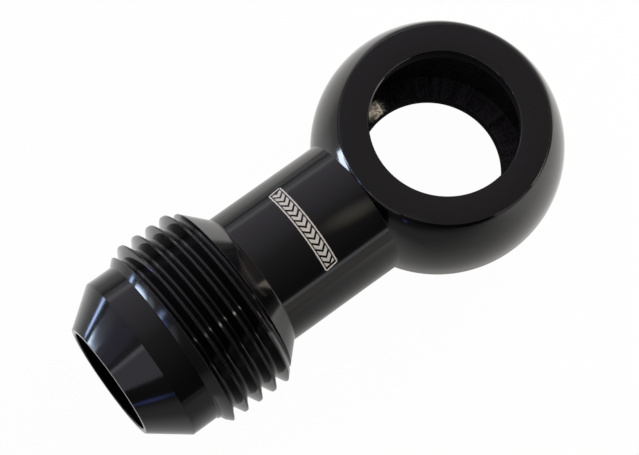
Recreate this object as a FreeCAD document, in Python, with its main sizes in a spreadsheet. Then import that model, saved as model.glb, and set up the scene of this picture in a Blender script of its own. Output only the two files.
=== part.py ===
import FreeCAD, Part
import math
import os
import Sketcher

# Banjo fitting: a ball-shaped eye with a plain cross bore for a hollow bolt, a round
# stem, and a threaded end with a 37 degree flare seat, all turned from one bar.
# Millimetres. Z is the axis of the bolt bore, and the stem runs towards -X.

document = FreeCAD.newDocument("banjo_fitting")

# Driving sizes
SIZES = [
    ("eye_diameter", 24.0, "ball that the eye is cut from"),
    ("eye_thickness", 14.0, "between the two sealing faces"),
    ("eye_edge_break", 0.15, "edge between a sealing face and the ball"),
    ("bolt_bore_diameter", 14.0, "plain bore for the hollow bolt"),
    ("bolt_bore_chamfer", 0.1, "both rims of the bolt bore"),
    ("chamber_diameter", 18.4, "chamber that carries flow round the bolt"),
    ("sealing_lip", 1.5, "left between the chamber and each sealing face"),
    ("stem_diameter", 13.6, "plain round stem"),
    ("collar_distance", 22.0, "bolt bore axis to the foot of the rear collar"),
    ("collar_angle", 45.0, "slope of the rear collar"),
    ("thread_diameter", 19.05, "over the crests"),
    ("thread_pitch", 1.5875, "sixteen threads to the inch"),
    ("thread_depth_share", 0.6134, "depth of the groove, in pitches"),
    ("crest_flat_share", 0.125, "width of the flat on a crest, in pitches"),
    ("thread_flank_angle", 60.0, "between the two flanks of a groove"),
    ("thread_end_distance", 30.8, "bolt bore axis to the end of the crests"),
    ("lead_angle", 45.0, "slope of the lead-in behind the nose"),
    ("nose_step", 0.15, "plain land below the root of the thread"),
    ("seat_distance", 34.55, "bolt bore axis to the start of the seat"),
    ("seat_angle", 37.0, "half angle of the flare seat"),
    ("tip_wall", 0.5, "wall left round the flow bore at the tip"),
    ("flow_bore_diameter", 10.6, "from the tip into the bolt bore"),
    ("thread_groove_start", 33.74, "sets the turn at which the thread runs out"),
    ("thread_groove_runout", 1.2, "rear end of the groove, past the collar"),
    ("cutter_clearance", 1.0, "how far a cut reaches past the surface"),
    ("thread_cutter_clearance", 0.08, "the same over the crests"),
]

sheet = document.addObject("Spreadsheet::Sheet", "Sizes")
for row, (name, value, note) in enumerate(SIZES, start=1):
    sheet.set("A%d" % row, name)
    sheet.set("B%d" % row, str(value))
    sheet.set("C%d" % row, note)
    sheet.setAlias("B%d" % row, name)

# Worked-out sizes
DERIVED = [
    ("eye_radius", "=eye_diameter / 2"),
    ("face_height", "=eye_thickness / 2"),
    ("bolt_bore_radius", "=bolt_bore_diameter / 2"),
    ("straight_bore_height", "=face_height - bolt_bore_chamfer"),
    ("bore_cut_radius", "=bolt_bore_radius + bolt_bore_chamfer + cutter_clearance"),
    ("bore_cut_height", "=face_height + cutter_clearance"),
    ("chamber_radius", "=chamber_diameter / 2"),
    ("chamber_half_height", "=face_height - sealing_lip"),
    ("stem_radius", "=stem_diameter / 2"),
    ("flow_radius", "=flow_bore_diameter / 2"),
    ("crest_radius", "=thread_diameter / 2"),
    ("root_radius", "=crest_radius - thread_depth_share * thread_pitch"),
    ("nose_radius", "=root_radius - nose_step"),
    ("tip_radius", "=flow_radius + tip_wall"),
    ("collar_crest_distance", "=collar_distance + (crest_radius - stem_radius) / tan(collar_angle * 1deg)"),
    ("lead_end_distance", "=thread_end_distance + (crest_radius - nose_radius) / tan(lead_angle * 1deg)"),
    ("tip_distance", "=seat_distance + (nose_radius - tip_radius) / tan(seat_angle * 1deg)"),
    ("flow_cut_distance", "=tip_distance + cutter_clearance"),
    ("flank_slope", "=tan(thread_flank_angle * 0.5deg)"),
    ("thread_cut_radius", "=crest_radius + thread_cutter_clearance"),
    ("groove_half_width", "=thread_pitch * (1 - crest_flat_share) / 2"),
    ("root_half_width", "=groove_half_width - (crest_radius - root_radius) * flank_slope"),
    ("cut_half_width", "=root_half_width + (thread_cut_radius - root_radius) * flank_slope"),
    ("front_root_distance", "=thread_groove_start + root_half_width"),
    ("front_cut_distance", "=thread_groove_start + cut_half_width"),
    ("rear_cut_distance", "=thread_groove_start - cut_half_width"),
    ("rear_root_distance", "=thread_groove_start - root_half_width"),
    ("thread_groove_length", "=thread_groove_start - collar_distance + thread_groove_runout"),
]
for row, (name, formula) in enumerate(DERIVED, start=len(SIZES) + 2):
    sheet.set("A%d" % row, name)
    sheet.set("B%d" % row, formula)
    sheet.setAlias("B%d" % row, name)
document.recompute()


def size(name):
    """A plain number from the sheet."""
    value = getattr(sheet, name)
    return float(getattr(value, "Value", value))


def number(text):
    """The plain number that a corner's text stands for: 0, a sheet name or a minus and a sheet name."""
    if text == "0":
        return 0.0
    if text.startswith("-"):
        return -size(text[1:])
    return size(text)


def bound(text):
    """The same as an expression on the sheet."""
    if text.startswith("-"):
        return "-Sizes." + text[1:]
    return "Sizes." + text


def plane(body, role):
    """One of the body's own origin planes."""
    for feature in body.Origin.OriginFeatures:
        if feature.Role == role:
            return feature


def new_sketch(body, name):
    """A sketch in the plane of the stem axis and the bolt bore axis."""
    sketch = body.newObject("Sketcher::SketchObject", name)
    sketch.AttachmentSupport = [(plane(body, "XZ_Plane"), "")]
    sketch.MapMode = "FlatFace"
    return sketch


# A sketch's own numbers for its axes and for the points of an edge
VERTICAL_AXIS, HORIZONTAL_AXIS = range(-2, 0)
START, END, CENTRE = range(1, 4)


def pin(sketch, edge, end, direction, text):
    """Hold one end of an edge at a distance from the origin that the sheet gives."""
    if text == "0":
        axis = VERTICAL_AXIS if direction == "X" else HORIZONTAL_AXIS
        sketch.addConstraint(Sketcher.Constraint("PointOnObject", edge, end, axis))
    else:
        constraint = Sketcher.Constraint("Distance" + direction, edge, end, number(text))
        index = sketch.addConstraint(constraint)
        sketch.setExpression("Constraints[%d]" % index, bound(text))


def outline(sketch, corners):
    """A closed run of straight edges whose corners the sheet places."""
    points = [FreeCAD.Vector(number(x), number(y), 0) for x, y in corners]
    for start, end in zip(points, points[1:] + points[:1]):
        sketch.addGeometry(Part.LineSegment(start, end), False)
    for edge, (x, y) in enumerate(corners):
        previous = (edge - 1) % len(corners)
        sketch.addConstraint(Sketcher.Constraint("Coincident", previous, END, edge, START))
        pin(sketch, edge, START, "X", x)
        pin(sketch, edge, START, "Y", y)


def check_cut(body, name, volume_before):
    """Stop if a cut took nothing away."""
    if body.Shape.Volume >= volume_before:
        raise RuntimeError("%s cuts nothing" % name)


def turn(body, kind, name, sketch, axis):
    """A full revolution of a sketch about one of its own axes: a Revolution adds, a Groove cuts."""
    volume_before = body.Shape.Volume if body.Tip else 0.0
    feature = body.newObject("PartDesign::" + kind, name)
    feature.Profile = sketch
    feature.ReferenceAxis = (sketch, [axis])
    feature.Angle = 360
    document.recompute()
    if kind == "Groove":
        check_cut(body, name, volume_before)


fitting = document.addObject("PartDesign::Body", "fitting_body")
fitting.Label = "fitting_body"

# Eye: a ball with two flat sealing faces
eye_sketch = new_sketch(fitting, "eye_outline")
radius = size("eye_radius")
height = size("face_height")
edge_break = size("eye_edge_break")
rim_height = height - edge_break
rim_radius = math.sqrt(radius ** 2 - rim_height ** 2)
rim_angle = math.atan2(rim_height, rim_radius)
low_rim = FreeCAD.Vector(rim_radius, -rim_height, 0)
high_rim = FreeCAD.Vector(rim_radius, rim_height, 0)
low_face = FreeCAD.Vector(rim_radius - edge_break, -height, 0)
high_face = FreeCAD.Vector(rim_radius - edge_break, height, 0)
low_centre = FreeCAD.Vector(0, -height, 0)
high_centre = FreeCAD.Vector(0, height, 0)
ball_circle = Part.Circle(FreeCAD.Vector(0, 0, 0), FreeCAD.Vector(0, 0, 1), radius)
LOW_FACE, LOW_BREAK, BALL, HIGH_BREAK, HIGH_FACE, AXIS = range(6)
eye_sketch.addGeometry(Part.LineSegment(low_centre, low_face), False)
eye_sketch.addGeometry(Part.LineSegment(low_face, low_rim), False)
eye_sketch.addGeometry(Part.ArcOfCircle(ball_circle, -rim_angle, rim_angle), False)
eye_sketch.addGeometry(Part.LineSegment(high_rim, high_face), False)
eye_sketch.addGeometry(Part.LineSegment(high_face, high_centre), False)
eye_sketch.addGeometry(Part.LineSegment(high_centre, low_centre), False)
for edge in (LOW_FACE, LOW_BREAK, BALL, HIGH_BREAK, HIGH_FACE, AXIS):
    following = (edge + 1) % (AXIS + 1)
    eye_sketch.addConstraint(Sketcher.Constraint("Coincident", edge, END, following, START))
eye_sketch.addConstraint(Sketcher.Constraint("Coincident", BALL, CENTRE, HORIZONTAL_AXIS, START))
pin(eye_sketch, LOW_FACE, START, "X", "0")
pin(eye_sketch, HIGH_FACE, END, "X", "0")
pin(eye_sketch, LOW_FACE, START, "Y", "-face_height")
pin(eye_sketch, HIGH_FACE, END, "Y", "face_height")
eye_sketch.addConstraint(Sketcher.Constraint("Horizontal", LOW_FACE))
eye_sketch.addConstraint(Sketcher.Constraint("Horizontal", HIGH_FACE))
ball_radius = eye_sketch.addConstraint(Sketcher.Constraint("Radius", BALL, radius))
eye_sketch.setExpression("Constraints[%d]" % ball_radius, "Sizes.eye_radius")
for line, face_end, ball_end, side in ((LOW_BREAK, START, END, 1), (HIGH_BREAK, END, START, -1)):
    for direction, sign in (("X", 1), ("Y", side)):
        reach = sign * edge_break
        constraint = Sketcher.Constraint("Distance" + direction, line, face_end, line, ball_end, reach)
        index = eye_sketch.addConstraint(constraint)
        eye_sketch.setExpression("Constraints[%d]" % index, "%d * Sizes.eye_edge_break" % sign)
turn(fitting, "Revolution", "eye", eye_sketch, "V_Axis")

# Stem, collar, thread blank, nose and flare seat, from the middle of the eye outwards
stem_sketch = new_sketch(fitting, "stem_outline")
outline(stem_sketch, [
    ("0", "0"),
    ("0", "stem_radius"),
    ("-collar_distance", "stem_radius"),
    ("-collar_crest_distance", "crest_radius"),
    ("-thread_end_distance", "crest_radius"),
    ("-lead_end_distance", "nose_radius"),
    ("-seat_distance", "nose_radius"),
    ("-tip_distance", "tip_radius"),
    ("-tip_distance", "0"),
])
turn(fitting, "Revolution", "stem", stem_sketch, "H_Axis")

# Flow bore, drilled from the tip into the bolt bore
flow_sketch = new_sketch(fitting, "flow_bore_outline")
outline(flow_sketch, [
    ("0", "0"),
    ("0", "flow_radius"),
    ("-flow_cut_distance", "flow_radius"),
    ("-flow_cut_distance", "0"),
])
turn(fitting, "Groove", "flow_bore", flow_sketch, "H_Axis")

# Bolt bore, with a small chamfer at each rim
bore_sketch = new_sketch(fitting, "bolt_bore_outline")
outline(bore_sketch, [
    ("0", "-bore_cut_height"),
    ("bore_cut_radius", "-bore_cut_height"),
    ("bolt_bore_radius", "-straight_bore_height"),
    ("bolt_bore_radius", "straight_bore_height"),
    ("bore_cut_radius", "bore_cut_height"),
    ("0", "bore_cut_height"),
])
turn(fitting, "Groove", "bolt_bore", bore_sketch, "V_Axis")

# Chamber round the middle of the bolt bore
chamber_sketch = new_sketch(fitting, "chamber_outline")
outline(chamber_sketch, [
    ("0", "-chamber_half_height"),
    ("chamber_radius", "-chamber_half_height"),
    ("chamber_radius", "chamber_half_height"),
    ("0", "chamber_half_height"),
])
turn(fitting, "Groove", "chamber", chamber_sketch, "V_Axis")

# Thread: one V groove cut along a right-hand helix, out through the rear collar
thread_sketch = new_sketch(fitting, "thread_groove_outline")
outline(thread_sketch, [
    ("-front_root_distance", "root_radius"),
    ("-front_cut_distance", "thread_cut_radius"),
    ("-rear_cut_distance", "thread_cut_radius"),
    ("-rear_root_distance", "root_radius"),
])
thread = fitting.newObject("PartDesign::SubtractiveHelix", "thread_groove")
thread.Profile = thread_sketch
thread.ReferenceAxis = (thread_sketch, ["H_Axis"])
thread.Mode = 0
thread.setExpression("Pitch", "Sizes.thread_pitch")
thread.setExpression("Height", "Sizes.thread_groove_length")
thread.Angle = 0
thread.LeftHanded = False
blank_volume = fitting.Shape.Volume
document.recompute()
fitting.Tip = thread
check_cut(fitting, "thread_groove", blank_volume)

for item in document.Objects:
    if "Invalid" in item.State or "Error" in item.State:
        raise RuntimeError("%s did not build: %s" % (item.Name, item.State))
if fitting.Shape.isNull() or not fitting.Shape.isValid():
    raise RuntimeError("fitting_body is not a valid shape")

os.makedirs("parts", exist_ok=True)
fitting.Shape.exportStep("parts/%s.step" % fitting.Label)
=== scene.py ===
import math
import bmesh
import bpy
from mathutils import Matrix, Vector


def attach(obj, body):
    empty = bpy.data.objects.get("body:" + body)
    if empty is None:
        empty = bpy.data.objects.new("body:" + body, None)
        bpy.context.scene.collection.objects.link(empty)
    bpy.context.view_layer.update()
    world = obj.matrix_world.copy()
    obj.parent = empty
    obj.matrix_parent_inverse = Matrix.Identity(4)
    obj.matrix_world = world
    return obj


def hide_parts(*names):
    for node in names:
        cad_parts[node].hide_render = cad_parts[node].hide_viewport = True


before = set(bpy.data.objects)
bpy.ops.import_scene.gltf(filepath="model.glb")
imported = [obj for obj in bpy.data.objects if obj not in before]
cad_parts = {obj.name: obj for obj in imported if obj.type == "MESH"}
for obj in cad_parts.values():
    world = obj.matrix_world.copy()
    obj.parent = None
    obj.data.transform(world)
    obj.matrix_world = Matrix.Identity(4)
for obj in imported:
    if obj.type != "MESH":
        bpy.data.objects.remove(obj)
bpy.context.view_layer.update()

# Ball-shaped eye
# A ball with two flat sealing faces, a plain bore for the hollow bolt and a wide chamber
# inside that carries the flow round the bolt. Turned in a lathe, with its edges broken.
MM = 0.001
BALL_RADIUS = 12.0 * MM
FACE_HEIGHT = 7.0 * MM
FACE_EDGE_BREAK = 0.15 * MM
BORE_RADIUS = 7.0 * MM
BORE_CHAMFER = 0.1 * MM
CHAMBER_RADIUS = 9.2 * MM
CHAMBER_HALF_HEIGHT = 5.5 * MM
EYE_TURN_STEPS = 288
BALL_ARC_STEPS = 72


def rounded(corners, steps=4):
    """A closed outline from corners of (x, y, rounding), with a small arc at each rounded one."""
    outline = []
    for index, (x, y, rounding) in enumerate(corners):
        corner = Vector((x, y))
        if rounding == 0:
            outline.append(corner)
            continue
        before = (Vector(corners[index - 1][:2]) - corner).normalized()
        after = (Vector(corners[(index + 1) % len(corners)][:2]) - corner).normalized()
        half = before.angle(after) / 2
        reach = rounding / math.tan(half)
        centre = corner + (before + after).normalized() * rounding / math.sin(half)
        start = corner + before * reach - centre
        sweep = start.angle_signed(corner + after * reach - centre)
        for step in range(steps + 1):
            outline.append(centre + Matrix.Rotation(-sweep * step / steps, 2) @ start)
    return outline


def turned(name, outline, place, steps):
    """A closed outline turned about an axis; place(x, y, angle) puts each point in the frame."""
    mesh = bmesh.new()
    rings = []
    for step in range(steps):
        angle = 2 * math.pi * step / steps
        rings.append([mesh.verts.new(place(point.x, point.y, angle)) for point in outline])
    for ring, following in zip(rings, rings[1:] + rings[:1]):
        for index in range(len(outline)):
            after = (index + 1) % len(outline)
            mesh.faces.new((ring[index], following[index], following[after], ring[after]))
    bmesh.ops.remove_doubles(mesh, verts=mesh.verts, dist=1e-7)
    bmesh.ops.recalc_face_normals(mesh, faces=mesh.faces)
    data = bpy.data.meshes.new(name)
    mesh.to_mesh(data)
    mesh.free()
    piece = bpy.data.objects.new(name, data)
    bpy.context.scene.collection.objects.link(piece)
    return piece


def about_bore(radius, height, angle):
    return Vector((radius * math.cos(angle), radius * math.sin(angle), height))


ball_edge = math.asin((FACE_HEIGHT - FACE_EDGE_BREAK) / BALL_RADIUS)
ball_arc = []
for step in range(BALL_ARC_STEPS + 1):
    angle = ball_edge * (2 * step / BALL_ARC_STEPS - 1)
    ball_arc.append((BALL_RADIUS * math.cos(angle), BALL_RADIUS * math.sin(angle), 0))
face_radius = ball_arc[0][0] - FACE_EDGE_BREAK
EDGE_SOFTNESS = 0.03 * MM
eye_outline = rounded(
    [
        (BORE_RADIUS, -CHAMBER_HALF_HEIGHT, EDGE_SOFTNESS),
        (BORE_RADIUS, -FACE_HEIGHT + BORE_CHAMFER, EDGE_SOFTNESS),
        (BORE_RADIUS + BORE_CHAMFER, -FACE_HEIGHT, EDGE_SOFTNESS),
        (face_radius, -FACE_HEIGHT, EDGE_SOFTNESS),
    ]
    + ball_arc
    + [
        (face_radius, FACE_HEIGHT, EDGE_SOFTNESS),
        (BORE_RADIUS + BORE_CHAMFER, FACE_HEIGHT, EDGE_SOFTNESS),
        (BORE_RADIUS, FACE_HEIGHT - BORE_CHAMFER, EDGE_SOFTNESS),
        (BORE_RADIUS, CHAMBER_HALF_HEIGHT, EDGE_SOFTNESS),
        (CHAMBER_RADIUS, CHAMBER_HALF_HEIGHT, 0),
        (CHAMBER_RADIUS, -CHAMBER_HALF_HEIGHT, 0),
    ]
)
fitting = turned("anodised_fitting", eye_outline, about_bore, EYE_TURN_STEPS)

# Stem, collar, nose and flare seat
# The rest of the same bar, turned about the stem: a plain stem, a sloped collar, the blank
# for the thread with its lead-in, a short plain land and the seat, with a drilled flow bore.
STEM_RADIUS = 6.8 * MM
STEM_ROOT = 9.55 * MM
COLLAR_DISTANCE = 22.0 * MM
CREST_RADIUS = 9.525 * MM
THREAD_PITCH = 1.5875 * MM
ROOT_RADIUS = CREST_RADIUS - 0.6134 * THREAD_PITCH
THREAD_END = 30.8 * MM
NOSE_RADIUS = ROOT_RADIUS - 0.15 * MM
SEAT_DISTANCE = 34.55 * MM
SEAT_ANGLE = math.radians(37)
FLOW_RADIUS = 5.3 * MM
TIP_RADIUS = FLOW_RADIUS + 0.5 * MM
STEM_TURN_STEPS = 256

collar_end = COLLAR_DISTANCE + CREST_RADIUS - STEM_RADIUS
lead_end = THREAD_END + CREST_RADIUS - NOSE_RADIUS
tip_distance = SEAT_DISTANCE + (NOSE_RADIUS - TIP_RADIUS) / math.tan(SEAT_ANGLE)


def about_stem(distance, radius, angle):
    return Vector((-distance, radius * math.sin(angle), radius * math.cos(angle)))


stem_outline = rounded(
    [
        (STEM_ROOT, 0, 0),
        (STEM_ROOT, STEM_RADIUS, 0),
        (COLLAR_DISTANCE, STEM_RADIUS, 0.2 * MM),
        (collar_end, CREST_RADIUS, EDGE_SOFTNESS),
        (THREAD_END, CREST_RADIUS, EDGE_SOFTNESS),
        (lead_end, NOSE_RADIUS, EDGE_SOFTNESS),
        (SEAT_DISTANCE, NOSE_RADIUS, 0.1 * MM),
        (tip_distance, TIP_RADIUS, 0.08 * MM),
        (tip_distance, 0, 0),
    ]
)
stem = turned("stem_blank", stem_outline, about_stem, STEM_TURN_STEPS)

# Thread
# Cut on the lathe as one V groove along a right-hand helix, with a rounded root. It starts in
# the land before the seat and runs out through the collar.
GROOVE_START = 33.74 * MM
GROOVE_END = 22.7 * MM
THREAD_STEPS = 180
FLANK_SLOPE = math.tan(math.radians(30))
CREST_FLAT = THREAD_PITCH / 8
crest_gap = (THREAD_PITCH - CREST_FLAT) / 2
root_gap = crest_gap - (CREST_RADIUS - ROOT_RADIUS) * FLANK_SLOPE
over_crest = 0.08 * MM
groove_outline = rounded(
    [
        (-root_gap, ROOT_RADIUS, 0.1 * MM),
        (-crest_gap, CREST_RADIUS, 0.08 * MM),
        (-crest_gap - 0.04 * MM, CREST_RADIUS + over_crest, 0),
        (crest_gap + 0.04 * MM, CREST_RADIUS + over_crest, 0),
        (crest_gap, CREST_RADIUS, 0.08 * MM),
        (root_gap, ROOT_RADIUS, 0.1 * MM),
    ],
    steps=3,
)
count = int((GROOVE_START - GROOVE_END) / THREAD_PITCH * THREAD_STEPS)
mesh = bmesh.new()
rings = []
for step in range(count + 1):
    turn = step / THREAD_STEPS
    angle = -2 * math.pi * turn
    distance = GROOVE_START - THREAD_PITCH * turn
    rings.append([
        mesh.verts.new(about_stem(distance + point.x, point.y, angle))
        for point in groove_outline
    ])
for ring, following in zip(rings, rings[1:]):
    for index in range(len(groove_outline)):
        after = (index + 1) % len(groove_outline)
        mesh.faces.new((ring[index], following[index], following[after], ring[after]))
mesh.faces.new(rings[0])
mesh.faces.new(reversed(rings[-1]))
bmesh.ops.recalc_face_normals(mesh, faces=mesh.faces)
groove_data = bpy.data.meshes.new("thread_groove")
mesh.to_mesh(groove_data)
mesh.free()
groove = bpy.data.objects.new("thread_groove", groove_data)
bpy.context.scene.collection.objects.link(groove)

flow_outline = rounded(
    [
        (6 * MM, 0, 0),
        (6 * MM, FLOW_RADIUS, 0),
        (tip_distance - 0.1 * MM, FLOW_RADIUS, 0),
        (tip_distance + 0.1 * MM, FLOW_RADIUS + 0.2 * MM, 0),
        (tip_distance + 1 * MM, FLOW_RADIUS + 0.2 * MM, 0),
        (tip_distance + 1 * MM, 0, 0),
    ]
)
flow_bore = turned("flow_bore", flow_outline, about_stem, STEM_TURN_STEPS)


def carve(piece, tool, operation):
    """Join a tool to a piece or cut it out of the piece, and drop the tool."""
    modifier = piece.modifiers.new(operation, "BOOLEAN")
    modifier.operation = operation
    modifier.solver = "EXACT"
    modifier.object = tool
    graph = bpy.context.evaluated_depsgraph_get()
    shaped = bpy.data.meshes.new_from_object(piece.evaluated_get(graph))
    piece.modifiers.clear()
    piece.data = shaped
    bpy.data.objects.remove(tool)


carve(stem, groove, "DIFFERENCE")
carve(fitting, stem, "UNION")
carve(fitting, flow_bore, "DIFFERENCE")
for face in fitting.data.polygons:
    face.use_smooth = True
SHARP_EDGE = math.radians(24)
fitting.data.set_sharp_from_angle(angle=SHARP_EDGE)
even = fitting.modifiers.new("even shading", "WEIGHTED_NORMAL")
even.keep_sharp = True
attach(fitting, "root")
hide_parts("fitting_body")


# Black anodised aluminium
# Turned bar with a thin sealed oxide layer dyed black: a deep black that mirrors softly,
# pale where it is seen along the surface, over fine turning marks round each axis. The marks
# are drawn at 0.12 mm, a little coarser than the real tool's feed.
def linear(hex_colour):
    """An sRGB hex colour as linear red, green, blue and alpha."""
    channels = []
    for start in (1, 3, 5):
        value = int(hex_colour[start:start + 2], 16) / 255
        channels.append(value / 12.92 if value <= 0.04045 else ((value + 0.055) / 1.055) ** 2.4)
    return (*channels, 1.0)


def add_node(tree, kind, settings=None, **links):
    """A node with its settings, and sockets given as values or as other nodes' outputs."""
    node = tree.nodes.new(kind)
    for name, value in (settings or {}).items():
        setattr(node, name, value)
    for name, value in links.items():
        socket = node.inputs[int(name[1:])] if name[1:].isdigit() else node.inputs[name.replace("_", " ")]
        if isinstance(value, bpy.types.NodeSocket):
            tree.links.new(value, socket)
        else:
            socket.default_value = value
    return node


TURNING_MARKS = 0.12 * MM
FINISH_PATCHES = 2.5 * MM
EDGE_WEAR = 0.07 * MM


def anodised(name, axis, dye_and_shade):
    """The finish, with turning marks round the stem (X) or round the bolt bore (Z), and with
    the black layer thinner along the edges."""
    material = bpy.data.materials.new(name)
    material.use_nodes = True
    tree = material.node_tree
    shader = tree.nodes["Principled BSDF"]
    shader.inputs["Metallic"].default_value = 0.0
    shader.inputs["IOR"].default_value = 1.62
    shader.inputs["Anisotropic"].default_value = 0.5
    where = add_node(tree, "ShaderNodeNewGeometry")
    apart = add_node(tree, "ShaderNodeSeparateXYZ", Vector=where.outputs["Position"])
    if axis == "X":
        along = apart.outputs["X"]
        turning = (1.0, 0.0, 0.0)
    else:
        flat = add_node(tree, "ShaderNodeCombineXYZ", X=apart.outputs["X"], Y=apart.outputs["Y"])
        distance = add_node(tree, "ShaderNodeVectorMath", {"operation": "LENGTH"},
                            i0=flat.outputs["Vector"])
        along = add_node(tree, "ShaderNodeMath", {"operation": "ADD"}, i0=distance.outputs["Value"],
                         i1=apart.outputs["Z"]).outputs["Value"]
        turning = (0.0, 0.0, 1.0)
    round_axis = add_node(tree, "ShaderNodeVectorMath", {"operation": "CROSS_PRODUCT"}, i0=turning,
                          i1=where.outputs["Position"])
    tree.links.new(round_axis.outputs["Vector"], shader.inputs["Tangent"])
    marks = add_node(tree, "ShaderNodeTexNoise", {"noise_dimensions": "1D"}, W=along,
                     Scale=1 / TURNING_MARKS, Detail=3.0)
    bump = add_node(tree, "ShaderNodeBump", Strength=0.1, Distance=0.004 * MM, Height=marks.outputs["Fac"])
    tree.links.new(bump.outputs["Normal"], shader.inputs["Normal"])
    patches = add_node(tree, "ShaderNodeTexNoise", Vector=where.outputs["Position"],
                       Scale=1 / FINISH_PATCHES, Detail=3.0)
    rough = add_node(tree, "ShaderNodeMapRange", Value=patches.outputs["Fac"], To_Min=0.08, To_Max=0.12)
    tree.links.new(rough.outputs["Result"], shader.inputs["Roughness"])
    softened = add_node(tree, "ShaderNodeBevel", {"samples": 6}, Radius=EDGE_WEAR)
    across = add_node(tree, "ShaderNodeVectorMath", {"operation": "DOT_PRODUCT"},
                      i0=softened.outputs["Normal"], i1=where.outputs["Normal"])
    edge = add_node(tree, "ShaderNodeMapRange", Value=across.outputs["Value"], From_Min=0.995, From_Max=0.9)
    worn = add_node(tree, "ShaderNodeMix", {"data_type": "RGBA"}, Factor=edge.outputs["Result"],
                    i6=linear(dye_and_shade), i7=linear("#4a4a50"))
    tree.links.new(worn.outputs[2], shader.inputs["Base Color"])
    return material


fitting.data.materials.clear()
fitting.data.materials.append(anodised("black_anodised_stem", "X", "#08080a"))
# The eye's copy takes a slightly darker black than the stem's: painted shade on the eye.
fitting.data.materials.append(anodised("black_anodised_eye", "Z", "#060505"))

# Bored inside of the eye
# The same dyed layer over a rougher cut, faintly streaked, so it takes in light where the
# outside mirrors it. The streaks are tool marks, partly a painted reflection of their sheen, and
# the up-facing shelf is painted lighter than the walls, lighter still towards +X. Its torn grain
# is drawn at 0.2 mm, coarser than the real cut, so that it shows at the picture's size.
STREAKS_PER_RADIAN = 9.0
TORN_GRAIN = 0.2 * MM
BORING_RINGS = 0.2 * MM
bored = bpy.data.materials.new("black_anodised_bored")
bored.use_nodes = True
tree = bored.node_tree
shader = tree.nodes["Principled BSDF"]
shader.inputs["IOR"].default_value = 1.62
shader.inputs["Roughness"].default_value = 0.34
where = add_node(tree, "ShaderNodeNewGeometry")
apart = add_node(tree, "ShaderNodeSeparateXYZ", Vector=where.outputs["Position"])
bearing = add_node(tree, "ShaderNodeMath", {"operation": "ARCTAN2"}, i0=apart.outputs["Y"],
                   i1=apart.outputs["X"])
streaks = add_node(tree, "ShaderNodeTexNoise", {"noise_dimensions": "1D"}, W=bearing.outputs["Value"],
                   Scale=STREAKS_PER_RADIAN, Detail=4.0, Roughness=0.6)
# Streak colour: tool marks, and partly a painted reflection of their streaked sheen.
tint = add_node(tree, "ShaderNodeValToRGB", Fac=streaks.outputs["Fac"])
tint.color_ramp.elements[0].position = 0.35
tint.color_ramp.elements[0].color = linear("#1d1b1b")
tint.color_ramp.elements[1].position = 0.7
tint.color_ramp.elements[1].color = linear("#3c3738")
# Painted light: the up-facing shelf is lighter than the walls, and lighter still towards +X.
upward = add_node(tree, "ShaderNodeSeparateXYZ", Vector=where.outputs["Normal"])
painted_light_open_side = add_node(tree, "ShaderNodeMapRange", Value=apart.outputs["X"], From_Min=-1 * MM,
                     From_Max=7 * MM, To_Min=0.7, To_Max=3.6)
painted_shelf_light = add_node(tree, "ShaderNodeMapRange", Value=upward.outputs["Z"], To_Min=0.35,
                 To_Max=painted_light_open_side.outputs["Result"])
torn = add_node(tree, "ShaderNodeTexNoise", Vector=where.outputs["Position"], Scale=1 / TORN_GRAIN,
                Detail=1.5)
speckle = add_node(tree, "ShaderNodeMapRange", Value=torn.outputs["Fac"], From_Min=0.44, From_Max=0.6,
                   To_Min=0.1, To_Max=1.0)
tree.links.new(speckle.outputs["Result"], shader.inputs["Specular IOR Level"])
shaded = add_node(tree, "ShaderNodeVectorMath", {"operation": "SCALE"}, i0=tint.outputs["Color"],
                  Scale=painted_shelf_light.outputs["Result"])
tree.links.new(shaded.outputs["Vector"], shader.inputs["Base Color"])
rings = add_node(tree, "ShaderNodeTexNoise", {"noise_dimensions": "1D"}, W=apart.outputs["Z"],
                 Scale=1 / BORING_RINGS)
surface = add_node(tree, "ShaderNodeMath", {"operation": "ADD"}, i0=rings.outputs["Fac"],
                   i1=torn.outputs["Fac"])
bump = add_node(tree, "ShaderNodeBump", Strength=0.6, Distance=0.05 * MM, Height=surface.outputs["Value"])
tree.links.new(bump.outputs["Normal"], shader.inputs["Normal"])
fitting.data.materials.append(bored)
NEAR = 0.05 * MM
STEM_FINISH, EYE_FINISH, BORED_FINISH = 0, 1, 2
for face in fitting.data.polygons:
    centre = face.center
    off_bore = math.hypot(centre.x, centre.y)
    if off_bore < CHAMBER_RADIUS + NEAR and abs(centre.z) < CHAMBER_HALF_HEIGHT + NEAR:
        face.material_index = BORED_FINISH
    elif off_bore < face_radius + 2 * FACE_EDGE_BREAK or abs(centre.length - BALL_RADIUS) < NEAR:
        face.material_index = EYE_FINISH
    else:
        face.material_index = STEM_FINISH

# Etched mark
# A narrow silver mark burnt through the black layer by laser, wrapped part of the way
# round the stem: a thin frame with a plain row of chevrons that point to the eye.
MARK_MIDDLE = -16.22 * MM
MARK_HALF_WIDTH = 0.72 * MM
MARK_HALF_LENGTH = 4.75 * MM
MARK_CORNER = 0.22 * MM
MARK_SKEW = 0.1 * MM
MARK_RADIUS = STEM_RADIUS + 0.008 * MM
MARK_SLICE = 0.125 * MM
MARK_SLICES = 38
mark_outline = rounded(
    [
        (-MARK_HALF_WIDTH, -MARK_HALF_LENGTH - MARK_SKEW, MARK_CORNER),
        (MARK_HALF_WIDTH, -MARK_HALF_LENGTH + MARK_SKEW, MARK_CORNER),
        (MARK_HALF_WIDTH, MARK_HALF_LENGTH + MARK_SKEW, MARK_CORNER),
        (-MARK_HALF_WIDTH, MARK_HALF_LENGTH - MARK_SKEW, MARK_CORNER),
    ],
    steps=6,
)
mesh = bmesh.new()
mesh.faces.new([mesh.verts.new((point.x, point.y, 0)) for point in mark_outline])
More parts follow.
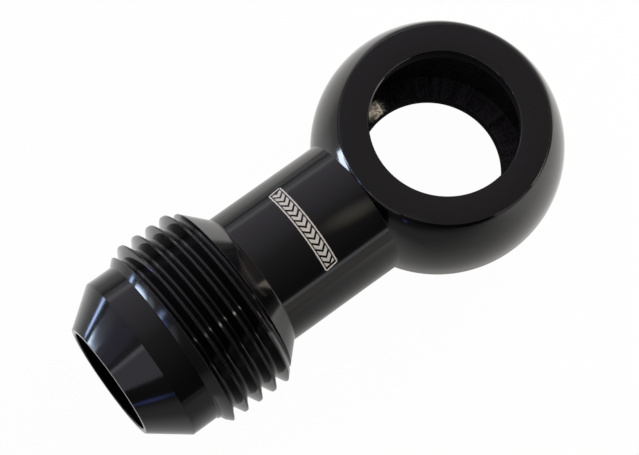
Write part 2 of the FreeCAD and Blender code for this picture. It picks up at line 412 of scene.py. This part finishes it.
for step in range(-MARK_SLICES, MARK_SLICES + 1):
    cut = mesh.verts[:] + mesh.edges[:] + mesh.faces[:]
    bmesh.ops.bisect_plane(mesh, geom=cut, plane_co=(0, step * MARK_SLICE, 0), plane_no=(0, 1, 0))
for vert in mesh.verts:
    angle = vert.co.y / STEM_RADIUS
    vert.co = (
        MARK_MIDDLE + vert.co.x,
        MARK_RADIUS * math.sin(angle),
        MARK_RADIUS * math.cos(angle),
    )
mesh.normal_update()
for face in mesh.faces:
    face.smooth = True
    if face.normal.dot(Vector((0, face.calc_center_median().y, face.calc_center_median().z))) < 0:
        face.normal_flip()
mark_data = bpy.data.meshes.new("etched_mark")
mesh.to_mesh(mark_data)
mesh.free()
mark = bpy.data.objects.new("etched_mark", mark_data)
bpy.context.scene.collection.objects.link(mark)
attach(mark, "root")

# Laser-etched silver
# Bare bright metal with a fine grain, a matt pale grey beside the mirrored black. The pattern
# is measured out on the stem in plain mm, so its sizes carry no MM. The grain is drawn a
# little coarser than a laser's real lines.
FIELD_HALF_WIDTH = 0.58
FIELD_HALF_LENGTH = 4.61
CHEVRON_HALF_WIDTH = 0.47
CHEVRON_HALF_LENGTH = 4.4
CHEVRON_HALF_PITCH = 0.33
CHEVRON_STROKE = 0.2
CHEVRON_SLOPE = 0.9
FIELD_LEAN = 0.14
ETCH_GRAIN = 0.08 * MM
etched = bpy.data.materials.new("laser_etched_silver")
etched.use_nodes = True
tree = etched.node_tree
shader = tree.nodes["Principled BSDF"]
shader.inputs["IOR"].default_value = 1.62
where = add_node(tree, "ShaderNodeNewGeometry")
apart = add_node(tree, "ShaderNodeSeparateXYZ", Vector=where.outputs["Position"])
bearing = add_node(tree, "ShaderNodeMath", {"operation": "ARCTAN2"}, i0=apart.outputs["Y"],
                   i1=apart.outputs["Z"])
run = add_node(tree, "ShaderNodeMath", {"operation": "MULTIPLY"}, i0=bearing.outputs["Value"],
               i1=STEM_RADIUS / MM)
offset = add_node(tree, "ShaderNodeMath", {"operation": "MULTIPLY_ADD"}, i0=apart.outputs["X"], i1=1 / MM,
                  i2=-MARK_MIDDLE / MM)
skew = add_node(tree, "ShaderNodeMath", {"operation": "MULTIPLY_ADD"}, i0=offset.outputs["Value"],
                i1=-FIELD_LEAN, i2=run.outputs["Value"])
across = add_node(tree, "ShaderNodeMath", {"operation": "ABSOLUTE"}, i0=offset.outputs["Value"])
along = add_node(tree, "ShaderNodeMath", {"operation": "ABSOLUTE"}, i0=skew.outputs["Value"])
shifted = add_node(tree, "ShaderNodeMath", {"operation": "MULTIPLY_ADD"}, i0=across.outputs["Value"],
                   i1=-CHEVRON_SLOPE, i2=run.outputs["Value"])
phase = add_node(tree, "ShaderNodeMath", {"operation": "PINGPONG"}, i0=shifted.outputs["Value"],
                 i1=CHEVRON_HALF_PITCH)
areas = []
for limits in (
    ((across, FIELD_HALF_WIDTH), (along, FIELD_HALF_LENGTH)),
    ((phase, CHEVRON_STROKE), (across, CHEVRON_HALF_WIDTH), (along, CHEVRON_HALF_LENGTH)),
):
    area = 1.0
    for measure, limit in limits:
        within = add_node(tree, "ShaderNodeMath", {"operation": "LESS_THAN"},
                          i0=measure.outputs["Value"], i1=limit)
        area = add_node(tree, "ShaderNodeMath", {"operation": "MULTIPLY"}, i0=area,
                        i1=within.outputs["Value"]).outputs["Value"]
    areas.append(area)
black = add_node(tree, "ShaderNodeMath", {"operation": "SUBTRACT"}, i0=areas[0], i1=areas[1])
grain = add_node(tree, "ShaderNodeTexNoise", Vector=where.outputs["Position"], Scale=1 / ETCH_GRAIN,
                 Detail=2.0)
silver = add_node(tree, "ShaderNodeValToRGB", Fac=grain.outputs["Fac"])
silver.color_ramp.elements[0].position = 0.3
silver.color_ramp.elements[0].color = linear("#b4b3b0")
silver.color_ramp.elements[1].position = 0.7
silver.color_ramp.elements[1].color = linear("#e8e7e4")
tone = add_node(tree, "ShaderNodeMix", {"data_type": "RGBA"}, Factor=black.outputs["Value"],
                i6=silver.outputs["Color"], i7=linear("#0a0a0b"))
tree.links.new(tone.outputs[2], shader.inputs["Base Color"])
rough = add_node(tree, "ShaderNodeMapRange", Value=black.outputs["Value"], To_Min=0.5, To_Max=0.12)
tree.links.new(rough.outputs["Result"], shader.inputs["Roughness"])
bump = add_node(tree, "ShaderNodeBump", Strength=0.15, Distance=0.006 * MM, Height=grain.outputs["Fac"])
tree.links.new(bump.outputs["Normal"], shader.inputs["Normal"])
mark_data.materials.append(etched)

# Floor
# A plain sheet of white paper that the eye and the thread both touch. What the camera sees of
# it is white. What the black finish mirrors of it is painted light and shade: brighter to the right
# of the eye, darker under the nose though lifted close to it, with a painted contact shadow under
# the eye, dimmer far off and behind, and darker past a painted edge of the sheet.
FLOOR_SIZE = 0.9
FLOOR_GAP = 0.02 * MM
rest_slope = (CREST_RADIUS - FACE_HEIGHT) / (face_radius + collar_end)
floor_data = bpy.data.meshes.new("floor")
corners = []
for x, y in ((-1, -1), (1, -1), (1, 1), (-1, 1)):
    east = x * FLOOR_SIZE
    corners.append((east, y * FLOOR_SIZE, -FACE_HEIGHT - rest_slope * (face_radius - east) - FLOOR_GAP))
floor_data.from_pydata(corners, [], [(0, 1, 2, 3)])
floor = bpy.data.objects.new("floor", floor_data)
bpy.context.scene.collection.objects.link(floor)
paper = bpy.data.materials.new("white_paper")
paper.use_nodes = True
tree = paper.node_tree
shader = tree.nodes["Principled BSDF"]
shader.inputs["Roughness"].default_value = 0.9
shader.inputs["Base Color"].default_value = linear("#f6f6f6")
where = add_node(tree, "ShaderNodeNewGeometry")
apart = add_node(tree, "ShaderNodeSeparateXYZ", Vector=where.outputs["Position"])
slant = add_node(tree, "ShaderNodeMapRange", Value=apart.outputs["Y"], From_Min=-30 * MM, From_Max=30 * MM,
                 To_Min=-15 * MM, To_Max=15 * MM)
across = add_node(tree, "ShaderNodeMath", {"operation": "ADD"}, i0=apart.outputs["X"],
                  i1=slant.outputs["Result"])
level = add_node(tree, "ShaderNodeMapRange", Value=across.outputs["Value"], From_Min=-45 * MM,
                 From_Max=10 * MM)
# Painted light and shade of the floor as the finish mirrors it: brighter towards +X and +Y, darker towards
# the nose end.
painted_floor_light = add_node(tree, "ShaderNodeValToRGB", Fac=level.outputs["Result"])
painted_floor_light.color_ramp.elements[0].color = (0.24, 0.24, 0.25, 1)
painted_floor_light.color_ramp.elements[1].color = (1.05, 1.04, 1.02, 1)
for place, tone in ((0.29, 0.33), (0.545, 0.49), (0.67, 0.65), (0.8, 0.88)):
    painted_floor_light.color_ramp.elements.new(place).color = (tone * 1.01, tone, tone * 0.97, 1)
lift = add_node(tree, "ShaderNodeMapRange", Value=apart.outputs["Y"], From_Min=-20 * MM, From_Max=15 * MM,
                To_Min=0.0, To_Max=0.62)
lifted = add_node(tree, "ShaderNodeVectorMath", {"operation": "MAXIMUM"}, i0=painted_floor_light.outputs["Color"],
                  i1=lift.outputs["Result"])
from_nose = add_node(tree, "ShaderNodeVectorMath", {"operation": "DISTANCE"}, i0=where.outputs["Position"],
                     i1=(-38 * MM, 4 * MM, -10 * MM))
# Painted light close under the nose.
painted_light_near_nose = add_node(tree, "ShaderNodeMapRange", Value=from_nose.outputs["Value"], From_Min=8 * MM,
                     From_Max=32 * MM, To_Min=0.42, To_Max=0.0)
lit = add_node(tree, "ShaderNodeVectorMath", {"operation": "ADD"}, i0=lifted.outputs["Vector"],
               i1=painted_light_near_nose.outputs["Result"])
# A painted sheet edge: the mirrored floor is darker beyond it.
beyond = add_node(tree, "ShaderNodeVectorMath", {"operation": "DOT_PRODUCT"}, i0=where.outputs["Position"],
                  i1=(0.854, 0.52, 0.0))
painted_past_edge = add_node(tree, "ShaderNodeMapRange", Value=apart.outputs["Y"], From_Min=25 * MM,
                     From_Max=60 * MM, To_Min=0.14, To_Max=0.7)
painted_sheet_edge = add_node(tree, "ShaderNodeMapRange", Value=beyond.outputs["Value"], From_Min=17.5 * MM,
                      From_Max=21 * MM, To_Min=1.0, To_Max=painted_past_edge.outputs["Result"])
# Painted shade: a contact shadow under the eye, and dimmer far off and behind the part.
under = add_node(tree, "ShaderNodeVectorMath", {"operation": "LENGTH"}, i0=where.outputs["Position"])
painted_contact_shadow = add_node(tree, "ShaderNodeMapRange", Value=under.outputs["Value"], From_Min=11 * MM,
                   From_Max=16 * MM, To_Min=0.02, To_Max=1.0)
far = add_node(tree, "ShaderNodeMapRange", Value=under.outputs["Value"], From_Min=80 * MM,
               From_Max=190 * MM, To_Min=1.0, To_Max=0.3)
behind = add_node(tree, "ShaderNodeMapRange", Value=apart.outputs["Y"], From_Min=20 * MM, From_Max=45 * MM,
                  To_Min=1.0, To_Max=0.74)
dim = painted_sheet_edge.outputs["Result"]
for factor in (painted_contact_shadow, far, behind):
    dim = add_node(tree, "ShaderNodeMath", {"operation": "MULTIPLY"}, i0=dim,
                   i1=factor.outputs["Result"]).outputs["Value"]
dimmed = add_node(tree, "ShaderNodeVectorMath", {"operation": "SCALE"}, i0=lit.outputs["Vector"], Scale=dim)
ray = add_node(tree, "ShaderNodeLightPath")
tone = add_node(tree, "ShaderNodeMix", {"data_type": "RGBA"}, Factor=ray.outputs["Is Camera Ray"],
                i6=dimmed.outputs["Vector"], i7=(1, 1, 1, 1))
glow = add_node(tree, "ShaderNodeEmission", Color=tone.outputs[2], Strength=1.0)
viewed = add_node(tree, "ShaderNodeMath", {"operation": "MULTIPLY"}, i0=ray.outputs["Is Camera Ray"],
                  i1=0.98)
seen = add_node(tree, "ShaderNodeMath", {"operation": "MAXIMUM"}, i0=viewed.outputs["Value"],
                i1=ray.outputs["Is Glossy Ray"])
blend = add_node(tree, "ShaderNodeMixShader", Fac=seen.outputs["Value"], i1=shader.outputs["BSDF"],
                 i2=glow.outputs["Emission"])
tree.links.new(blend.outputs["Shader"], tree.nodes["Material Output"].inputs["Surface"])
floor.data.materials.append(paper)

# Room light
# A dim room, brighter to one side, mirrored in the black finish; the camera sees plain white.
world = bpy.data.worlds.new("studio")
bpy.context.scene.world = world
world.use_nodes = True
tree = world.node_tree
background = tree.nodes["Background"]
where = add_node(tree, "ShaderNodeTexCoord")
across = add_node(tree, "ShaderNodeVectorMath", {"operation": "DOT_PRODUCT"}, i0=where.outputs["Generated"],
                  i1=(0.22, 0.975, 0.0))
level = add_node(tree, "ShaderNodeMapRange", Value=across.outputs["Value"], From_Min=-1.0, From_Max=1.0)
ramp = add_node(tree, "ShaderNodeValToRGB", Fac=level.outputs["Result"])
ramp.color_ramp.elements[0].position = 0.0
ramp.color_ramp.elements[0].color = (0.015, 0.015, 0.017, 1)
ramp.color_ramp.elements[1].position = 1.0
ramp.color_ramp.elements[1].color = (0.56, 0.53, 0.60, 1)
middle = ramp.color_ramp.elements.new(0.5)
middle.color = (0.17, 0.158, 0.158, 1)
ray = add_node(tree, "ShaderNodeLightPath")
shade = add_node(tree, "ShaderNodeMix", {"data_type": "RGBA"}, Factor=ray.outputs["Is Camera Ray"],
                 i6=ramp.outputs["Color"], i7=(1, 1, 1, 1))
tree.links.new(shade.outputs[2], background.inputs["Color"])
background.inputs["Strength"].default_value = 1.0


# Light cards
# Each is a small source that the black finish mirrors as one of the photo's highlights, aimed
# at a point on the part and placed by its direction from there. The camera can't see them and
# they cast no shadow.
def light_card(name, aim, azimuth, elevation, width, height, tone, strength, reach=250, tilt=0, fade=0.0,
               grid=False):
    """A card that faces its aim from a reach in mm, with its angles in degrees; fade is the share
    of it that dims towards its edges, and a grid lets its light out only straight ahead."""
    azimuth = math.radians(azimuth)
    elevation = math.radians(elevation)
    facing = Vector((
        math.cos(elevation) * math.cos(azimuth),
        math.cos(elevation) * math.sin(azimuth),
        math.sin(elevation),
    ))
    place = (Vector(aim) + facing * reach) * MM
    side = Matrix.Rotation(math.radians(tilt), 3, -facing) @ Vector((0, 0, 1)).cross(facing).normalized()
    rise = facing.cross(side)
    wide = reach * MM * math.tan(math.radians(width) / 2)
    tall = reach * MM * math.tan(math.radians(height) / 2)
    data = bpy.data.meshes.new(name)
    data.from_pydata([
        place - side * wide - rise * tall,
        place + side * wide - rise * tall,
        place + side * wide + rise * tall,
        place - side * wide + rise * tall,
    ], [], [(3, 2, 1, 0)])
    card = bpy.data.objects.new(name, data)
    bpy.context.scene.collection.objects.link(card)
    card.visible_camera = False
    card.visible_shadow = False
    material = bpy.data.materials.new(name)
    material.use_nodes = True
    tree = material.node_tree
    tree.nodes.remove(tree.nodes["Principled BSDF"])
    glow = add_node(tree, "ShaderNodeEmission", Color=linear(tone), Strength=strength)
    if fade > 0:
        data.uv_layers.new(name="card")
        spread = add_node(tree, "ShaderNodeUVMap", {"uv_map": "card"})
        inward = add_node(tree, "ShaderNodeVectorMath", {"operation": "DISTANCE"}, i0=spread.outputs["UV"],
                          i1=(0.5, 0.5, 0.0))
        dimmed = add_node(tree, "ShaderNodeMapRange", {"interpolation_type": "SMOOTHSTEP"},
                          Value=inward.outputs["Value"], From_Min=0.5 * (1 - fade), From_Max=0.5,
                          To_Min=strength, To_Max=0.0)
        tree.links.new(dimmed.outputs["Result"], glow.inputs["Strength"])
    if grid:
        aside = add_node(tree, "ShaderNodeLayerWeight", Blend=0.5)
        ahead = add_node(tree, "ShaderNodeMapRange", Value=aside.outputs["Facing"], From_Min=0.014,
                         From_Max=0.024, To_Min=strength, To_Max=0.0)
        tree.links.new(ahead.outputs["Result"], glow.inputs["Strength"])
    if fade > 0 or grid:
        clear = add_node(tree, "ShaderNodeBsdfTransparent")
        glow = add_node(tree, "ShaderNodeAddShader", i0=glow.outputs["Emission"], i1=clear.outputs["BSDF"])
    tree.links.new(glow.outputs[0], tree.nodes["Material Output"].inputs["Surface"])
    data.materials.append(material)
    return card


STEM_MIDDLE = (-17, 0, 5)
NOSE_MIDDLE = (-33, 3, 7)
LEAD_IN = (-31.4, 3.2, 8.6)
key_card = light_card("key_card", (0, 0, 0), 5, 34, 60, 34, "#fff6ea", 6.0)
key_card.visible_glossy = False
light_card("lead_card_bright", LEAD_IN, 141.8, -1.5, 18, 4, "#cfe4ff", 17.0, reach=100, tilt=-47)
light_card("lead_card_mid", LEAD_IN, 153, 7.6, 9, 5, "#c4cfd8", 2.6, reach=100, tilt=-40)
light_card("lead_card_blue", LEAD_IN, 166, 13.3, 6.5, 3, "#b4c8ff", 6.5, reach=100, tilt=-5)
light_card("lead_card_violet", LEAD_IN, 174, 14.2, 5, 3, "#8c9cf0", 3.0, reach=100, tilt=-5)
light_card("neck_card", (-9.7, 2.8, 6.6), 148.5, -12, 18, 12, "#dce8ff", 15.0, reach=34, grid=True)
light_card("seat_card", (-36.2, 3.9, 5.7), 126.3, -13.5, 4.2, 6, "#b4ccff", 11.0, reach=50, tilt=-55)
light_card("gap_card", (-36.2, -4, 5.6), 218, -6, 3, 4, "#7f94ff", 1.0, reach=100, grid=True)
light_card("flank_card", (-30, 3.2, 9), 153, -27, 14, 7, "#9fb4ff", 5.0, reach=30)
light_card("crest_card", (-27.8, -3.45, 8.9), 287, 57.5, 12, 3, "#f4f2e6", 6.0, reach=20)
light_card("stem_card", (-12.4, -2.3, 6.4), 318, 68, 40, 60, "#f2f0d8", 0.5, reach=10, fade=0.95)
light_card("edge_card", (8, -8, 7), 328, 7, 46, 12, "#fff4e4", 2.6)
light_card("dusk_card", NOSE_MIDDLE, 155, 15, 24, 14, "#9d99b4", 0.9, reach=280)
light_card("brown_card", STEM_MIDDLE, 14, 8, 30, 12, "#9a8a80", 1.0, reach=240)
light_card("side_card", NOSE_MIDDLE, 192, 18, 30, 13, "#f4f0ff", 0.6)
light_card("slit_card", NOSE_MIDDLE, 178, 20, 4, 10, "#f4f0ff", 1.3, reach=240)
light_card("thin_card", NOSE_MIDDLE, 165, 12.5, 4, 6, "#b0ccff", 4.0)
light_card("strip_card", STEM_MIDDLE, 78, 11, 60, 7, "#fbfbff", 1.0)
light_card("back_strip_card", STEM_MIDDLE, 293, 15, 30, 6, "#fbfbff", 1.0)
light_card("back_low_card", STEM_MIDDLE, 290, 2, 26, 18, "#fbf8f2", 0.5, reach=260)

# Lamps
# A faint blue lamp that looks out along the flow bore, and a narrow warm beam through the bolt
# bore that makes the glint on the shelf below the upper lip.
bore_light_data = bpy.data.lights.new("light_along_flow_bore", "AREA")
bore_light_data.shape = "DISK"
bore_light_data.size = 8 * MM
bore_light_data.energy = 0.0002
bore_light_data.color = linear("#b9c8ff")[:3]
bore_light = bpy.data.objects.new("light_along_flow_bore", bore_light_data)
bpy.context.scene.collection.objects.link(bore_light)
BORE_LIGHT_PLACE = (-14 * MM, 0, 0)
bore_light.matrix_world = Matrix.Translation(BORE_LIGHT_PLACE) @ Matrix.Rotation(-math.pi / 2, 4, "Y")
bore_light.visible_camera = False

glint_data = bpy.data.lights.new("beam_through_bolt_bore", "SPOT")
glint_data.energy = 0.34
glint_data.spot_size = math.radians(1.9)
glint_data.spot_blend = 1.0
glint_data.shadow_soft_size = 0.5 * MM
glint_data.color = linear("#fff2dc")[:3]
glint = bpy.data.objects.new("beam_through_bolt_bore", glint_data)
bpy.context.scene.collection.objects.link(glint)
GLINT_TARGET = Vector((-1.0, 7.75, -5.5)) * MM
GLINT_BEARING = Vector((0.02, -0.13, 1.0)).normalized()
GLINT_REACH = 60 * MM
glint_turn = GLINT_BEARING.to_track_quat("Z", "Y").to_matrix().to_4x4()
glint.matrix_world = Matrix.Translation(GLINT_TARGET + GLINT_BEARING * GLINT_REACH) @ glint_turn

# Camera
# The photograph's viewpoint, from the fitted camera.
CAMERA_PLACE = Vector((-56.62, -39.28, 191.62)) * MM
CAMERA_AIM = Vector((-13.74, 0.31, 0.0)) * MM
PICTURE_UP = Vector((0.5669, 0.7724, 0.2864))
FRAME_WIDTH = 639
FOCAL_PIXELS = 2148.5
SENSOR_WIDTH = 36
camera_data = bpy.data.cameras.new("camera")
camera_data.sensor_width = SENSOR_WIDTH
camera_data.lens = SENSOR_WIDTH * FOCAL_PIXELS / FRAME_WIDTH
camera_data.clip_start = 0.01
camera = bpy.data.objects.new("camera", camera_data)
bpy.context.scene.collection.objects.link(camera)
back = (CAMERA_PLACE - CAMERA_AIM).normalized()
right = PICTURE_UP.cross(back).normalized()
up = back.cross(right)
turn = Matrix((right, up, back)).transposed().to_4x4()
camera.matrix_world = Matrix.Translation(CAMERA_PLACE) @ turn
bpy.context.scene.camera = camera
bpy.context.scene.view_settings.view_transform = "Standard"
